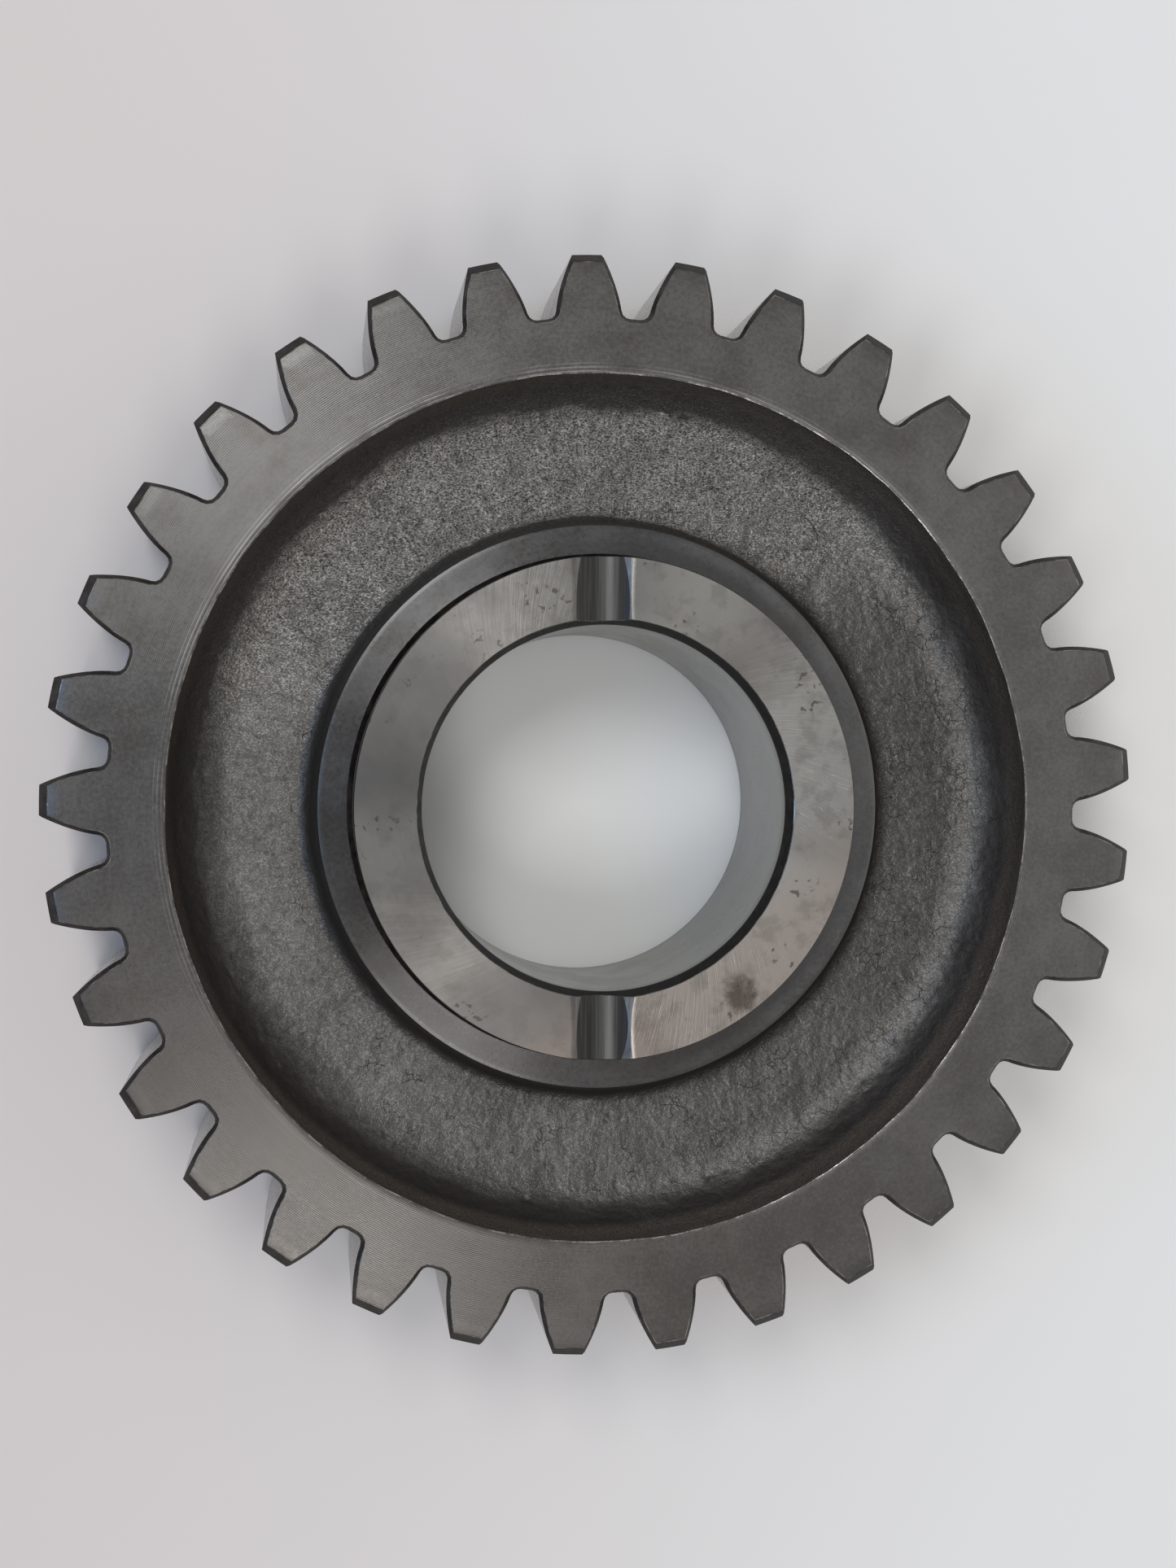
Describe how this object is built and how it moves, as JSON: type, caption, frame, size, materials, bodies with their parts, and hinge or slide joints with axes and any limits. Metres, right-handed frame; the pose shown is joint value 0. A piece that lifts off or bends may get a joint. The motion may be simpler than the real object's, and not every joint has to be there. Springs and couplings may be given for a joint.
{
  "type": "spur gear",
  "caption": "Straight-toothed steel gear with a forged recessed web and a pressed-in hub sleeve, plain bored, with oil grooves across one end face.",
  "frame": {"origin": "on the gear axis, half way along the sleeve's bore", "axes": "+Z along the bore axis, out of the side where the sleeve stands proud and has the oil grooves; the grooves run along Y"},
  "size_m": [0.2448, 0.2449, 0.056],
  "materials": {
    "forged_steel": "dark heat-treated forging: scaled as-forged web, turned rim and hub faces, ground tooth flanks",
    "ground_steel": "hardened steel, ground end face and bore with fine crossing scratches"
  },
  "bodies": {
    "root": {"gear_body": "forged_steel", "bearing_sleeve": "ground_steel"}
  },
  "joints": []
}
